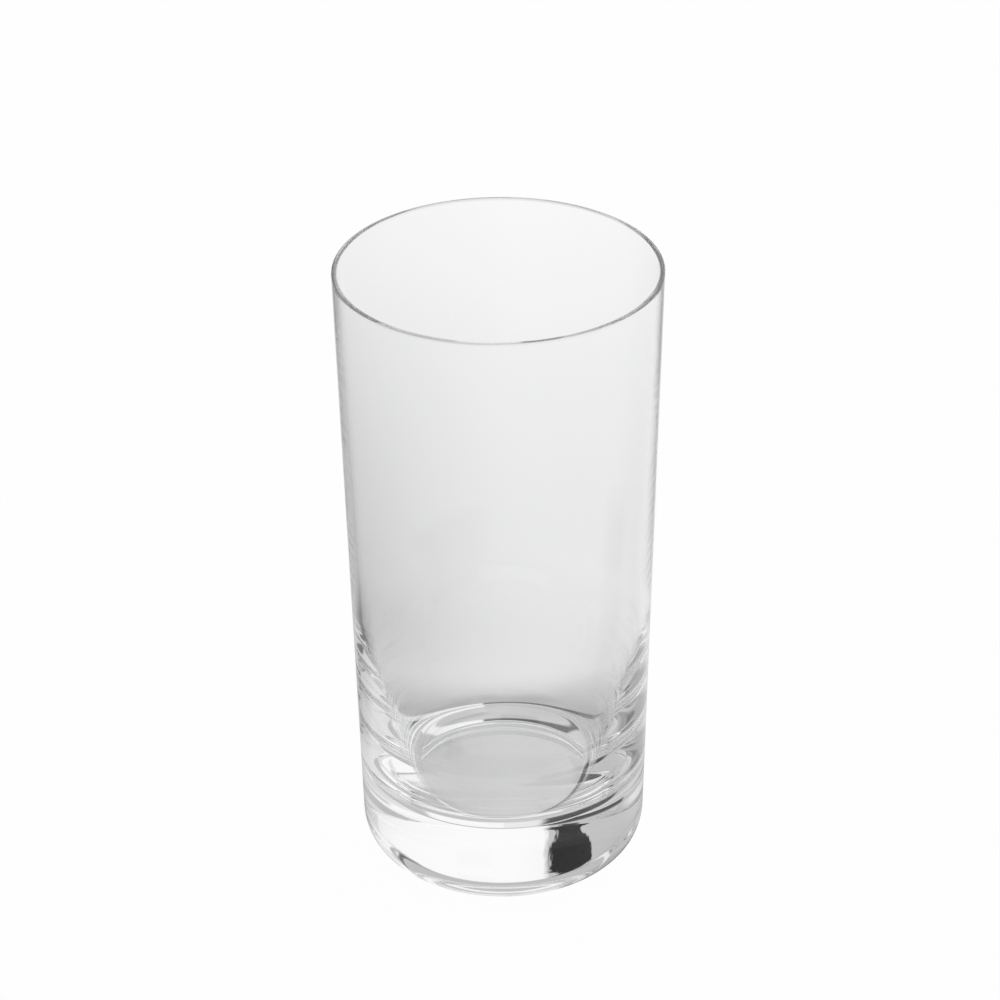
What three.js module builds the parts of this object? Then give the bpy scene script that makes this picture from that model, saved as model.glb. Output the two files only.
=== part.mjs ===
// A straight-sided highball tumbler: one piece of clear glass turned about its own axis.
// Millimetres, +Z up, origin on the table under the middle of the foot.
import * as THREE from 'three';

// Outside
const HEIGHT = 130; // table to the top of the rim
const RIM_RADIUS = 32.2; // outside of the mouth
const FOOT_RADIUS = 28; // where the outside wall, carried straight down, would meet the table
const HEEL_RADIUS = 9.8; // round edge between the outside wall and the foot

// Underside
const BEARING_WIDTH = 0.4; // flat ring that the glass stands on
const STEP_WIDTH = 0.8; // steep side of the recess, seen from below
const RECESS_DEPTH = 4.3; // how far the edge of the recess lies off the table
const RECESS_CROWN = 0.1; // how much further the recess rises from its edge to its middle

// Wall
const RIM_THICKNESS = 1; // fire-polished edge, fully rounded over
const WALL_THICKNESS = 1.8; // wall where it starts to thicken towards the base

// Inside corner and floor
const CORNER_TOP = 58; // height where the wall starts to thicken towards the base
const CORNER_DROP = 16; // how far the inside corner follows the wall before it turns in
const CORNER_REACH = 3.5; // how far outside the trough the corner turns level
const TROUGH_RADIUS = 19.2; // shallow trough between the inside corner and the domed floor
const TROUGH_HEIGHT = 17.4; // bottom of the trough, were it not rounded
const TROUGH_ROUND = 0.5; // how far the trough is rounded to either side
const FLOOR_DOME = 3.6; // how far the floor rises from the trough to its middle
const FLOOR_CROWN = 14.2; // how far out the dome would stay level, were its side straight

// Fineness of the surface
const TURN_STEPS = 96; // facets around the axis
const RECESS_STEPS = 6; // points across the recess
const STEP_STEPS = 6; // points down the side of the recess
const HEEL_STEPS = 10; // points round the heel
const RIM_STEPS = 8; // points over the rim
const CORNER_STEPS = 14; // points round the inside corner
const TROUGH_STEPS = 4; // points round the trough
const FLOOR_STEPS = 8; // points across the floor

const wallSlope = (RIM_RADIUS - FOOT_RADIUS) / HEIGHT;
const wallAngle = Math.atan(wallSlope);
const wallLean = Math.hypot(1, wallSlope);

// Radius of a point inside the glass, a given thickness in from the outside wall, square to it
function radiusInside(height, thickness) {
  return FOOT_RADIUS + wallSlope * height - thickness * wallLean;
}

// Arc about a centre, from one angle to another, anticlockwise in the radius and height plane
function arc(centreRadius, centreHeight, radius, startAngle, endAngle) {
  return new THREE.EllipseCurve(centreRadius, centreHeight, radius, radius, startAngle, endAngle);
}

// Point that lies a given reach from one point on the straight way to another
function toward(here, there, reach) {
  return there.clone().sub(here).setLength(reach).add(here);
}

// Underside and heel, from the middle of the recess out to the foot of the outside wall
function foot() {
  const heelCentreRadius = radiusInside(HEEL_RADIUS, HEEL_RADIUS);
  const heel = arc(heelCentreRadius, HEEL_RADIUS, HEEL_RADIUS, -Math.PI / 2, -wallAngle);

  const bearingRadius = heelCentreRadius - BEARING_WIDTH;
  const recessRadius = bearingRadius - STEP_WIDTH;
  const recessTop = RECESS_DEPTH + RECESS_CROWN;
  const recess = new THREE.QuadraticBezierCurve(
    new THREE.Vector2(0, recessTop),
    new THREE.Vector2(recessRadius / 2, recessTop),
    new THREE.Vector2(recessRadius, RECESS_DEPTH),
  );

  const stepMiddle = (bearingRadius + recessRadius) / 2;
  const step = new THREE.CubicBezierCurve(
    new THREE.Vector2(recessRadius, RECESS_DEPTH),
    new THREE.Vector2(stepMiddle, RECESS_DEPTH),
    new THREE.Vector2(stepMiddle, 0),
    new THREE.Vector2(bearingRadius, 0),
  );

  return [
    ...recess.getPoints(RECESS_STEPS),
    ...step.getPoints(STEP_STEPS).slice(1),
    ...heel.getPoints(HEEL_STEPS),
  ];
}

// Rim, inside wall and corner, trough and floor, from the top of the outside wall in to the middle of the floor
function bowl() {
  const rimRound = RIM_THICKNESS / 2;
  const rimHeight = HEIGHT - rimRound;
  const rim = arc(
    radiusInside(rimHeight, rimRound),
    rimHeight,
    rimRound,
    -wallAngle,
    Math.PI - wallAngle,
  );

  const cornerTop = new THREE.Vector2(radiusInside(CORNER_TOP, WALL_THICKNESS), CORNER_TOP);
  const cornerBend = CORNER_TOP - CORNER_DROP;
  const cornerWall = new THREE.Vector2(radiusInside(cornerBend, WALL_THICKNESS), cornerBend);
  const cornerLow = new THREE.Vector2(TROUGH_RADIUS + CORNER_REACH, TROUGH_HEIGHT);
  const trough = new THREE.Vector2(TROUGH_RADIUS, TROUGH_HEIGHT);
  const troughOut = toward(trough, cornerLow, TROUGH_ROUND);
  const corner = new THREE.CubicBezierCurve(cornerTop, cornerWall, cornerLow, troughOut);

  const floorTop = TROUGH_HEIGHT + FLOOR_DOME;
  const crown = new THREE.Vector2(FLOOR_CROWN, floorTop);
  const troughIn = toward(trough, crown, TROUGH_ROUND);
  const troughBend = new THREE.QuadraticBezierCurve(troughOut, trough, troughIn);
  const floor = new THREE.QuadraticBezierCurve(troughIn, crown, new THREE.Vector2(0, floorTop));

  return [
    ...rim.getPoints(RIM_STEPS),
    ...corner.getPoints(CORNER_STEPS),
    ...troughBend.getPoints(TROUGH_STEPS).slice(1),
    ...floor.getPoints(FLOOR_STEPS).slice(1),
  ];
}

function tumbler() {
  const geometry = new THREE.LatheGeometry([...foot(), ...bowl()], TURN_STEPS);
  geometry.rotateX(Math.PI / 2);
  const clearGlass = new THREE.MeshStandardMaterial({
    color: 0xf2f4f3,
    roughness: 0.02,
    metalness: 0,
    transparent: true,
    opacity: 0.35,
  });
  const mesh = new THREE.Mesh(geometry, clearGlass);
  mesh.name = 'tumbler';
  return mesh;
}

const highballGlass = new THREE.Group();
highballGlass.add(tumbler());

export default highballGlass;
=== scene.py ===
# %% [markdown]
# # A highball glass on a white table
# The object is one piece of clear glass: a tall tumbler with a straight, slightly leaning wall, a
# fire-polished rim and a thick solid base. This lesson turns its half section round an axis, gives the
# mesh the small unevenness of moulded glass, and then spends most of its care on what the glass shows,
# because clear glass has no look of its own: everything seen in it is the table and the studio, bent.

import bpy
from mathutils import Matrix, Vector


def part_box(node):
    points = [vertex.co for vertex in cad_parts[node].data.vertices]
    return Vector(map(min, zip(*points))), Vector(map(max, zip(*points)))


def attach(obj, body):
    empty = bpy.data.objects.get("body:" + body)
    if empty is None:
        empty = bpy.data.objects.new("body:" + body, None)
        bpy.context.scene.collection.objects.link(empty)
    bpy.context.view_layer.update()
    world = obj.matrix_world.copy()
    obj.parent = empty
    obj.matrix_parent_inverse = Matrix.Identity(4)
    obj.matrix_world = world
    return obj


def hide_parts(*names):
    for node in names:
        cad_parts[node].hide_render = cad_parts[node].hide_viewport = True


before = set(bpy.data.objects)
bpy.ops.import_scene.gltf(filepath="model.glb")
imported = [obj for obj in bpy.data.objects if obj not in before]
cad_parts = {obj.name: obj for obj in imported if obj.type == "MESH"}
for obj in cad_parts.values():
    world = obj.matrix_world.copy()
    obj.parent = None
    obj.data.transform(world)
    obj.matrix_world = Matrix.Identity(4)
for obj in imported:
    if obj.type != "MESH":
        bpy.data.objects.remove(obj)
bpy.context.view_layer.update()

# %% [markdown]
# ## Sizes
# The frame already knows how tall the glass is and how wide its mouth is, so those two are read from
# it. The other sizes are the ones that a mould maker would write on a drawing of the half section, in
# millimetres, and a single factor turns them into Blender's metres.

# %% Name the sizes of the half section
import math

import bpy
import numpy as np
from mathutils import Matrix

MM = 0.001

low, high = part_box("tumbler")
HEIGHT = high.z
RIM_RADIUS = (high.x - low.x) / 2
FOOT_RADIUS = 28 * MM        # where the outside wall, carried straight down, would meet the table
HEEL_RADIUS = 9.8 * MM       # round edge between the outside wall and the foot
BEARING_WIDTH = 0.4 * MM     # flat ring that the glass stands on
STEP_WIDTH = 0.8 * MM        # steep side of the recess, seen from below
RECESS_DEPTH = 4.3 * MM      # how far the edge of the recess lies off the table
RECESS_CROWN = 0.10 * MM     # how much further the recess rises from its edge to its middle
RIM_THICKNESS = 1.0 * MM     # fire-polished edge, fully rounded over
WALL_THICKNESS = 1.8 * MM    # wall where it starts to thicken towards the base
CORNER_TOP = 58 * MM         # height where the wall starts to thicken towards the base
CORNER_DROP = 16 * MM        # how far the inside corner follows the wall before it turns in
CORNER_REACH = 3.5 * MM      # how far outside the trough the corner turns level
TROUGH_RADIUS = 19.2 * MM    # shallow trough between the inside corner and the domed floor
TROUGH_HEIGHT = 17.4 * MM    # bottom of the trough, were it not rounded
TROUGH_ROUND = 0.5 * MM      # how far the trough is rounded to either side
FLOOR_DOME = 3.6 * MM        # how far the floor rises from the trough to its middle
FLOOR_CROWN = 14.2 * MM      # how far out the dome would stay level, were its side straight
print(f"mouth {2 * RIM_RADIUS / MM:.1f} mm, height {HEIGHT / MM:.1f} mm")

# %% [markdown]
# ## Curves of the half section
# A turned piece is drawn as a line in the plane of radius and height. Straight stretches need only
# their ends, and the round ones are either arcs or Bezier curves, which a few corner points steer.
# Both are short formulas on whole arrays, so no point of the outline is placed by hand.

# %% Write the arc and the Bezier curve as formulas
def arc(centre, radius, start, end, steps):
    """Points centre + radius (cos a, sin a), with the angle a going evenly from start to end."""
    angle = np.linspace(start, end, steps + 1)[:, None]
    return np.array(centre) + radius * np.hstack([np.cos(angle), np.sin(angle)])


def bezier(corners, steps):
    """Sum over the corners of the binomial weight times t to the k times (1 - t) to the rest."""
    t = np.linspace(0, 1, steps + 1)[:, None]
    last = len(corners) - 1
    weights = [math.comb(last, k) * t**k * (1 - t) ** (last - k) for k in range(last + 1)]
    return sum(weight * np.array(corner) for weight, corner in zip(weights, corners))


print("a Bezier curve starts at its first corner:", bezier([(0, 0), (1, 0), (1, 1)], 4)[0])

# %% [markdown]
# ## The half section
# The line starts under the middle of the base, steps down to the ring that touches the table, rounds
# the heel, climbs the outside wall, rolls over the rim, comes down inside and ends in the middle of the
# floor. The wall keeps nearly one thickness down to its lower third, then thickens slowly into the
# base. That slow corner makes the bright and dark strokes at both sides of a real tumbler. It ends in
# a shallow trough round a domed floor, because a plunger presses hardest at its edge, and the trough
# and the edge of the recess below draw the two fine rings. The recess keeps the hot glass off the
# table, and it is crowned by a tenth of a millimetre, as the mould's plate is, so that it lets go.

# %% Draw the half section from the underside round to the rim
RECESS_STEPS, STEP_STEPS, HEEL_STEPS, OUTSIDE_STEPS, RIM_STEPS = 12, 14, 24, 6, 14
CLOSE = 0.004  # share of a straight stretch between its end and the extra point there
wall_slope = (RIM_RADIUS - FOOT_RADIUS) / HEIGHT
wall_angle = math.atan(wall_slope)
wall_lean = math.hypot(1, wall_slope)


def radius_inside(height, thickness):
    """Radius of the point a given thickness in from the leaning outside wall, square to it."""
    return FOOT_RADIUS + wall_slope * height - thickness * wall_lean


def straight(start, end, steps):
    """Even points from start to end, and one more close to each end, so that the smooth shading of the
    round stretches beyond stays off the straight one."""
    share = np.concatenate([[0, CLOSE], np.linspace(0, 1, steps + 1)[1:-1], [1 - CLOSE, 1]])
    return np.array(start) + (np.array(end) - start) * share[:, None]


heel_middle = (radius_inside(HEEL_RADIUS, HEEL_RADIUS), HEEL_RADIUS)
heel = arc(heel_middle, HEEL_RADIUS, -math.pi / 2, -wall_angle, HEEL_STEPS)
bearing_radius = heel_middle[0] - BEARING_WIDTH
recess_radius = bearing_radius - STEP_WIDTH
step_middle = (bearing_radius + recess_radius) / 2
recess_share = np.linspace(0, 1, RECESS_STEPS + 1)[:, None]
recess_height = RECESS_DEPTH + RECESS_CROWN * (1 - recess_share**2)
recess_line = np.hstack([recess_radius * recess_share, recess_height])
step_corners = [
    (recess_radius, RECESS_DEPTH), (step_middle, RECESS_DEPTH), (step_middle, 0), (bearing_radius, 0)
]
underside_step = bezier(step_corners, STEP_STEPS)
rim_round = RIM_THICKNESS / 2
rim_middle = (radius_inside(HEIGHT - rim_round, rim_round), HEIGHT - rim_round)
rim = arc(rim_middle, rim_round, -wall_angle, math.pi - wall_angle, RIM_STEPS)
outside_wall = straight(heel[-1], rim[0], OUTSIDE_STEPS)[1:-1]
outline_outside = np.concatenate([recess_line, underside_step[1:], heel, outside_wall, rim])
print(len(outline_outside), "points outside")

# %% [markdown]
# ## The inside line
# The inside is drawn on from the rim. The corner is one cubic Bezier curve: its first two corners lie on
# the wall, so it leaves the wall without a bend, and its last two lie level, so it runs into the trough
# just as smoothly. The trough is a short curve between the two slopes that meet in it. A bevel would
# round it too, but not by a size that can be read off a drawing.

# %% Draw the inside wall, the corner, the trough and the floor
INSIDE_STEPS, CORNER_STEPS, TROUGH_STEPS, FLOOR_STEPS = 10, 46, 10, 22


def toward(here, there, reach):
    """The point that lies a given reach from one point on the straight way to another."""
    way = np.subtract(there, here)
    return np.array(here) + way * reach / np.hypot(*way)


corner_top = (radius_inside(CORNER_TOP, WALL_THICKNESS), CORNER_TOP)
inside_wall = straight(rim[-1], corner_top, INSIDE_STEPS)
corner_bend = CORNER_TOP - CORNER_DROP
corner_wall = (radius_inside(corner_bend, WALL_THICKNESS), corner_bend)
trough = (TROUGH_RADIUS, TROUGH_HEIGHT)
corner_low = (TROUGH_RADIUS + CORNER_REACH, TROUGH_HEIGHT)
floor_top = TROUGH_HEIGHT + FLOOR_DOME
crown = (FLOOR_CROWN, floor_top)
trough_out = toward(trough, corner_low, TROUGH_ROUND)
trough_in = toward(trough, crown, TROUGH_ROUND)
corner = bezier([corner_top, corner_wall, corner_low, trough_out], CORNER_STEPS)
trough_line = bezier([trough_out, trough, trough_in], TROUGH_STEPS)
floor_line = bezier([trough_in, crown, (0, floor_top)], FLOOR_STEPS)
outline_inside = np.concatenate([inside_wall[1:], corner[1:], trough_line[1:], floor_line[1:]])
print(len(outline_inside), "points inside")

# %% [markdown]
# ## Turning the section
# Spin or a Screw modifier would turn the line too, but a grid worked out with numpy can also be uneven:
# the inside of a moulded glass was shaped by air or a plunger while it was soft, so its surface swells
# and dips by a few hundredths of a millimetre. A sum of slow waves round and down the wall does that,
# and it is enough to make the rings and the strokes in the base waver as they do in real glass.

# %% Turn the line round the axis, with slow waves on the inside
TURN_STEPS = 600
FADE_SHARE = 0.15  # share of the inside line over which the waves start and end
WAVES = (  # waves round the glass, waves down the section, depth in millimetres, start angles
    (2, 1.5, 0.06, 0.4, 1.1),
    (3, 4.0, 0.03, 2.0, 0.3),
    (5, 7.5, 0.012, 4.4, 2.6),
    (9, 11.0, 0.004, 1.3, 5.2),
)


def waves(angle, along):
    """Sum of depth times the cosine round the glass times the cosine down the section, in metres."""
    return sum(
        depth * MM * np.cos(turns * angle + start) * np.cos(2 * math.pi * dips * along + shift)
        for turns, dips, depth, start, shift in WAVES
    )


def turned(name, outline, uneven):
    """The point of radius r and height z on the outline becomes (r cos a, r sin a, z) for even angles a,
    with r moved by the waves times the outline's own unevenness. Both ends are single points."""
    angle = np.linspace(0, 2 * math.pi, TURN_STEPS, endpoint=False)
    ring_line = outline[1:-1]
    along = np.linspace(0, 1, len(ring_line))[:, None]
    radius = ring_line[:, :1] + uneven[1:-1, None] * waves(angle, along)
    height = np.broadcast_to(ring_line[:, 1:], radius.shape)
    rings = np.stack([radius * np.cos(angle), radius * np.sin(angle), height], axis=-1)
    ends = np.array([(0, 0, outline[0, 1]), (0, 0, outline[-1, 1])])
    points = np.concatenate([rings.reshape(-1, 3), ends])

    number = np.arange(len(ring_line) * TURN_STEPS).reshape(-1, TURN_STEPS)
    beside = np.roll(number, -1, axis=1)
    quads = np.stack([number[:-1], beside[:-1], beside[1:], number[1:]], axis=-1).reshape(-1, 4)
    first, last = number.size, number.size + 1
    under = np.stack([np.full(TURN_STEPS, first), beside[0], number[0]], axis=-1)
    over = np.stack([np.full(TURN_STEPS, last), number[-1], beside[-1]], axis=-1)

    mesh = bpy.data.meshes.new(name)
    mesh.from_pydata(points.tolist(), [], quads.tolist() + under.tolist() + over.tolist())
    mesh.polygons.foreach_set("use_smooth", np.ones(len(mesh.polygons), bool))
    mesh.update()
    piece = bpy.data.objects.new(name, mesh)
    bpy.context.collection.objects.link(piece)
    return piece


outline = np.concatenate([outline_outside, outline_inside])
inside_share = np.linspace(0, 1, len(outline_inside))
fade = np.clip(np.minimum(inside_share, 1 - inside_share) / FADE_SHARE, 0, 1)
uneven = np.concatenate([np.zeros(len(outline_outside)), fade])
tumbler_glass = turned("tumbler_glass", outline, uneven)
print("tumbler_glass:", len(tumbler_glass.data.polygons), "faces")

# %% [markdown]
# ## Shader maths
# Node trees grow long when each sum needs its own lines. This small class wraps an output socket, so
# that Python's own signs add the Math nodes, and one method makes any other node from its settings and
# its inputs.

# %% Wrap a socket so that arithmetic makes nodes
class Signal:
    """An output socket on which +, - and * and the named sums below add nodes."""

    def __init__(self, socket):
        self.socket = socket

    @staticmethod
    def node(tree, kind, settings=None, inputs=None):
        """Adds a node, sets its settings, then fills its sockets with numbers or links."""
        made = tree.nodes.new(kind)
        for name, value in (settings or {}).items():
            setattr(made, name, value)
        for name, value in (inputs or {}).items():
            if isinstance(value, Signal):
                tree.links.new(value.socket, made.inputs[name])
            else:
                made.inputs[name].default_value = value
        return made

    def math(self, operation, first, second):
        """One Math node on two values, at least one of which is a signal."""
        tree = self.socket.id_data
        made = Signal.node(tree, "ShaderNodeMath", {"operation": operation}, {0: first, 1: second})
        return Signal(made.outputs[0])

    def __add__(self, other):
        return self.math("ADD", self, other)

    def __radd__(self, other):
        return self.math("ADD", other, self)

    def __sub__(self, other):
        return self.math("SUBTRACT", self, other)

    def __rsub__(self, other):
        return self.math("SUBTRACT", other, self)

    def __mul__(self, other):
        return self.math("MULTIPLY", self, other)

    def __rmul__(self, other):
        return self.math("MULTIPLY", other, self)

    def larger(self, other):
        """The larger of two signals."""
        return self.math("MAXIMUM", self, other)

    def turn_from(self, other):
        """The angle whose tangent is this signal over the other, in radians."""
        return self.math("ARCTAN2", self, other)

    def absolute(self):
        """This signal without its sign."""
        return self.math("ABSOLUTE", self, 0.0)

    def arcsine(self):
        """The angle whose sine is this signal, in radians."""
        return self.math("ARCSINE", self, 0.0)

    def blend(self, other, share):
        """This signal where the share is 0, the other where it is 1."""
        return self + (other - self) * share

    def between(self, low, high, soft):
        """1 from low to high and 0 outside, with a smooth S over a soft width at either end."""
        return self.step(low - soft, low + soft) * (1 - self.step(high - soft, high + soft))

    def step(self, low, high):
        """0 below low, 1 above high, and a smooth S between."""
        made = Signal.node(
            self.socket.id_data,
            "ShaderNodeMapRange",
            {"interpolation_type": "SMOOTHSTEP"},
            {"Value": self, "From Min": low, "From Max": high},
        )
        return Signal(made.outputs["Result"])


def new_tree(name):
    """A material with an empty node tree and its output node."""
    material = bpy.data.materials.new(name)
    material.use_nodes = True
    material.node_tree.nodes.clear()
    return material, material.node_tree


def noise(tree, place, scale, detail):
    """Soft clouds from 0 to 1 over a place, finer with a larger scale, rougher with more detail."""
    inputs = {"Vector": place, "Scale": scale, "Detail": detail}
    made = Signal.node(tree, "ShaderNodeTexNoise", {"noise_dimensions": "3D"}, inputs)
    return Signal(made.outputs["Fac"])


print("signals ready")

# %% [markdown]
# ## Clear glass
# Soda-lime glass bends light by about 1.52 and hardly colours it. What tells it from a perfect lens is
# its skin: a faint ripple left by the mould, and a polish that is a little less even in some places.
# The ripple is a bump of two noises, the polish is a roughness that stays near zero.

# %% Make the clear glass
GLASS_BEND = 1.52
DULLEST = 0.02  # roughness where the polish is least even
clear_glass, tree = new_tree("clear_glass")
place = Signal(Signal.node(tree, "ShaderNodeTexCoord").outputs["Object"])
ripple = noise(tree, place, 55.0, 1.0)
haze = noise(tree, place, 30.0, 2.0)
bump = Signal.node(tree, "ShaderNodeBump", None, {"Strength": 0.02, "Distance": 0.001, "Height": ripple})
tint = Signal.node(
    tree,
    "ShaderNodeMix",
    {"data_type": "RGBA"},
    {"Factor": haze, "A": (0.985, 0.99, 0.988, 1), "B": (1, 1, 1, 1)},
)
glass_skin = Signal.node(
    tree,
    "ShaderNodeBsdfPrincipled",
    None,
    {
        "Base Color": Signal(tint.outputs["Result"]),
        "Roughness": haze.step(0.5, 0.9) * DULLEST,
        "IOR": GLASS_BEND,
        "Transmission Weight": 1.0,
        "Normal": Signal(bump.outputs["Normal"]),
    },
)
Signal.node(tree, "ShaderNodeOutputMaterial", None, {"Surface": Signal(glass_skin.outputs["BSDF"])})
tumbler_glass.data.materials.append(clear_glass)
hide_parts("tumbler")
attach(tumbler_glass, "root")
print("clear_glass nodes:", len(tree.nodes))

# %% [markdown]
# ## The table
# The table is a plain pale sheet. The camera sees it as white paper with only a trace of the contact
# shadow. The glass sees more: a soft grey that falls off in light towards the foot and to the left,
# without which the wall would vanish into the white. Close to the foot the base itself throws light
# about as a lens does, so there are bright and dark patches under the heel, and they draw the rings.
# A render could trace those patches from small strong lamps, but only slowly and with much noise, so
# here each one is painted on the table as a soft-edged sector of a ring, given by its bearing and reach.

# %% Name the light on the table
UNDER_LEFT, UNDER_RIGHT = 0.51, 0.65  # light under the recess, from left to right
UNDER_HEEL = 0.52                     # light under the heel
BESIDE_FOOT = 0.46                    # light on the table just outside the heel
GAINS = ((0.34, 30, 58), (0.06, 60, 110), (0.12, 100, 320))  # light gained, from one reach to another
LEFT_LOSS = 0.10                                             # light lost on the left, close to the foot
LEFT_LOSSES = ((0.28, 40, 85), (-0.20, 150, 400))            # more lost, from one reach to another
RIGHT_LOSS = 0.04
PATCHES = (  # light, then bearing in degrees and reach in millimetres: from, to, soft edge
    (0.95, (-42, -10.5, 1.5), (19.1, 20.5, 0.25)),
    (0.06, (-10.5, 40, 1.5), (19.1, 20.5, 0.25)),
    # painted shade on the table just behind the glass
    (0.42, (-20, 20, 10), (33, 41, 3.0)),
    (0.94, (-48, -7.5, 0.8), (23.2, 34.0, 1.0)),
    (0.06, (-7.5, 48, 0.8), (30.5, 34.0, 0.6)),
    (0.97, (-200, -120, 5), (18.5, 27.5, 1.0)),
    (0.85, (151, 200, 5), (18.5, 27.5, 1.0)),
    (0.06, (80, 149, 5), (18.5, 29.0, 1.0)),
    # painted shade further out on the table: in front on the right, and behind on the left
    (0.20, (95, 165, 14), (33, 80, 6.0)),
    (0.12, (-70, -43, 6), (58, 112, 12.0)),
)
print("patches of light under the foot:", len(PATCHES))

# %% [markdown]
# ## The table's greys as nodes
# Bearing is the turn round the glass, 0 straight behind it and growing to the right. Reach is the way
# out from its middle. Both come from the table's own object coordinates, so the greys stay on the
# table, wherever the camera stands. Smooth steps of reach and bearing are added up, and the patches are
# blended over them one by one.

# %% Shade the table by bearing and reach
DEGREES = 180 / math.pi
white_table, tree = new_tree("white_table")
place = Signal(Signal.node(tree, "ShaderNodeTexCoord").outputs["Object"])
parts = Signal.node(tree, "ShaderNodeSeparateXYZ", None, {0: place})
east, north = Signal(parts.outputs["X"]), Signal(parts.outputs["Y"])
length = Signal.node(tree, "ShaderNodeVectorMath", {"operation": "LENGTH"}, {0: place})
reach = Signal(length.outputs["Value"]) * (1 / MM)
bearing = east.turn_from(north) * DEGREES


def gained(start, gains):
    """The start, plus each gain times a smooth step from its first reach to its second."""
    return sum((gain * reach.step(low, high) for gain, low, high in gains), start)


shade = UNDER_LEFT + (UNDER_RIGHT - UNDER_LEFT) * east.step(-22 * MM, 22 * MM)
shade = shade.blend(UNDER_HEEL, reach.step(19.5, 22.5))
left = bearing.step(-180, -90) * (1 - bearing.step(-50, 16))
right = bearing.step(12, 28)
open_table = gained(BESIDE_FOOT, GAINS) - left * gained(LEFT_LOSS, LEFT_LOSSES) - right * RIGHT_LOSS
shade = shade.blend(open_table, reach.step(31, 34))
for light, sector, ring in PATCHES:
    shade = shade.blend(light, bearing.between(*sector) * reach.between(*ring))
print("white_table nodes so far:", len(tree.nodes))

# %% [markdown]
# ## Laying the table
# The table is one square. The Light Path node tells the kinds of ray apart: what the camera sees
# straight on is white with a little plain paper in it, what the glass reflects or lets through is the
# grey above, and all other light falls on plain paper.

# %% Lay the table and let the camera and the glass see it
TABLE_SIZE = 6.0
GLOW_SHARE = 0.98  # the rest is plain paper, which takes the contact shadow
path = Signal.node(tree, "ShaderNodeLightPath")
by_camera = Signal(path.outputs["Is Camera Ray"])
by_glass = Signal(path.outputs["Is Glossy Ray"]).larger(Signal(path.outputs["Is Transmission Ray"]))
glow = by_camera + by_glass * shade
emission = Signal.node(tree, "ShaderNodeEmission", None, {"Color": glow, "Strength": 1.0})
paper = Signal.node(tree, "ShaderNodeBsdfDiffuse", None, {"Color": (0.9, 0.9, 0.9, 1)})
seen = by_camera * GLOW_SHARE + by_glass
mixed = Signal.node(
    tree,
    "ShaderNodeMixShader",
    None,
    {0: seen, 1: Signal(paper.outputs[0]), 2: Signal(emission.outputs[0])},
)
Signal.node(tree, "ShaderNodeOutputMaterial", None, {"Surface": Signal(mixed.outputs[0])})
half = TABLE_SIZE / 2
table_mesh = bpy.data.meshes.new("table")
corners = [(-half, -half, 0), (half, -half, 0), (half, half, 0), (-half, half, 0)]
table_mesh.from_pydata(corners, [], [(0, 1, 2, 3)])
table_mesh.materials.append(white_table)
table = bpy.data.objects.new("table", table_mesh)
bpy.context.collection.objects.link(table)
print("table", TABLE_SIZE, "m square")

# %% [markdown]
# ## The studio
# Glass is lit by what stands round it. Here that is a grey room, lighter on the right, with a white
# wall behind the glass, and a few dark things in it. The base shows the white wall upside down by
# total reflection at its underside, and the black patch there is a lamp head on its stand beside that
# wall. The low dark strips near the horizon and the dark things beside and in front of the glass make
# the strokes at its sides. Each is a box in bearing and rise with soft edges.

# %% Name the white wall, the dark things and the lamp
PANELS = (  # light, then bearing and rise in degrees: from, to, soft edge
    (0.30, (-165, -80, 10), (-20, 36, 3.0)),
    (1.00, (-14, 62, 1.0), (-20, 40, 2.0)),
    (0.25, (-1, 10, 0.6), (9, 20, 1.2)),
    (0.05, (-46, -4, 1.7), (-20, 8, 2.3)),
    (0.60, (42, 78, 2.9), (-20, 5, 1.2)),
    (0.08, (-122, -100, 3.5), (23.5, 32, 3.0)),
    (0.20, (154, 174, 2.3), (6, 24, 2.3)),
)
ROOM_LEFT, ROOM_RIGHT, CEILING = 0.56, 0.80, 0.50
LAMP_DARK = 0.01
STAND_BEARING, STAND_HALF = -21.8, 3.6  # middle and half width of the lamp's stand, in degrees
HEAD_SHIFT, HEAD_EXTRA = -2.7, 5.6      # how far the head hangs over, and what it adds to the half width
HEAD_RISE = (30.6, 33.0)                # where the stand widens into the head
LAMP_RISE = (21, 37.5, 1.0)             # from the foot of the stand to the top of the head, soft edge
WANDER = 5.0                            # how far the edges of all these wander, in degrees
print("things round the glass:", len(PANELS) + 1)

# %% [markdown]
# ## The studio as a world
# A world shader knows only the direction in which a ray leaves. Its bearing and its rise above the
# horizon are worked out from that, and a little noise lets the edges wander, because real things in a
# studio have no ruled edges. Modelled panels would do the same, but they would have to be hidden from
# the camera.

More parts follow.
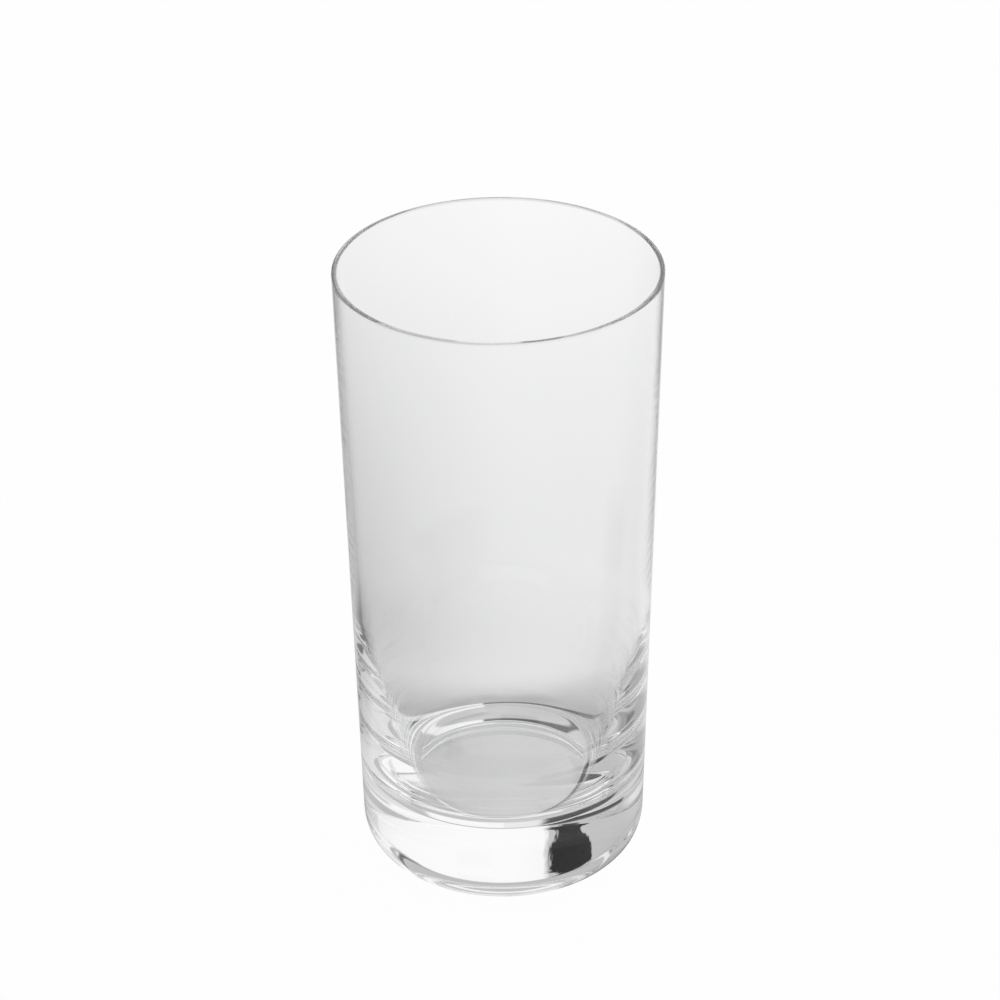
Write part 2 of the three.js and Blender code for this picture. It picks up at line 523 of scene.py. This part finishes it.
# %% Paint the room and the things in it on the world
studio = bpy.data.worlds.new("studio")
bpy.context.scene.world = studio
studio.use_nodes = True
tree = studio.node_tree
tree.nodes.clear()
direction = Signal(Signal.node(tree, "ShaderNodeTexCoord").outputs["Generated"])
parts = Signal.node(tree, "ShaderNodeSeparateXYZ", None, {0: direction})
east, north, up = (Signal(parts.outputs[i]) for i in range(3))
wander = (noise(tree, direction, 40.0, 3.0) - 0.5) * WANDER
bearing = east.turn_from(north) * DEGREES + wander
rise = up.arcsine() * DEGREES
grey = ROOM_LEFT + (ROOM_RIGHT - ROOM_LEFT) * east.step(-0.3, 0.3)
grey = grey.blend(CEILING, rise.step(38, 49))
for light, sector, band in PANELS:
    grey = grey.blend(light, bearing.between(*sector) * rise.between(*band))
head_share = rise.step(*HEAD_RISE)
lamp_middle = STAND_BEARING + HEAD_SHIFT * head_share
lamp_off = (bearing - lamp_middle).absolute() - (STAND_HALF + HEAD_EXTRA * head_share)
lamp = (1 - lamp_off.step(-0.6, 0.6)) * rise.between(*LAMP_RISE)
grey = grey.blend(LAMP_DARK, lamp)
by_camera = Signal(Signal.node(tree, "ShaderNodeLightPath").outputs["Is Camera Ray"])
seen = by_camera + (1 - by_camera) * grey
sky = Signal.node(tree, "ShaderNodeBackground", None, {"Color": seen, "Strength": 1.0})
Signal.node(tree, "ShaderNodeOutputWorld", None, {"Surface": Signal(sky.outputs[0])})
print("studio nodes:", len(tree.nodes))

# %% [markdown]
# ## Camera
# The photograph looks down on the glass from about 29 degrees with a long lens. The distance, the tilt
# and the small roll come from laying a turned shape over the rim, the sides and the foot.

# %% Set the camera
CAMERA_BACK = 0.9016
CAMERA_HEIGHT = 0.57355
CAMERA_TILT = math.radians(28.743)
CAMERA_ROLL = math.radians(-0.572)
CAMERA_SHIFT = -0.00044
LENS = 187.8
BOUNCES = 64  # light goes round inside a rim many times before it leaves
camera_data = bpy.data.cameras.new("camera")
camera_data.sensor_width = 36
camera_data.lens = LENS
camera_data.shift_x = CAMERA_SHIFT
camera = bpy.data.objects.new("camera", camera_data)
bpy.context.collection.objects.link(camera)
camera.matrix_world = (
    Matrix.Translation((0, -CAMERA_BACK, CAMERA_HEIGHT))
    @ Matrix.Rotation(math.pi / 2 - CAMERA_TILT, 4, "X")
    @ Matrix.Rotation(CAMERA_ROLL, 4, "Z")
)
scene = bpy.context.scene
scene.camera = camera
scene.view_settings.view_transform = "Standard"
scene.cycles.max_bounces = BOUNCES
scene.cycles.transmission_bounces = BOUNCES
scene.cycles.glossy_bounces = BOUNCES
scene.cycles.use_denoising = True
print("camera at", tuple(camera.location))

# %% Finish the scene
bpy.context.view_layer.update()
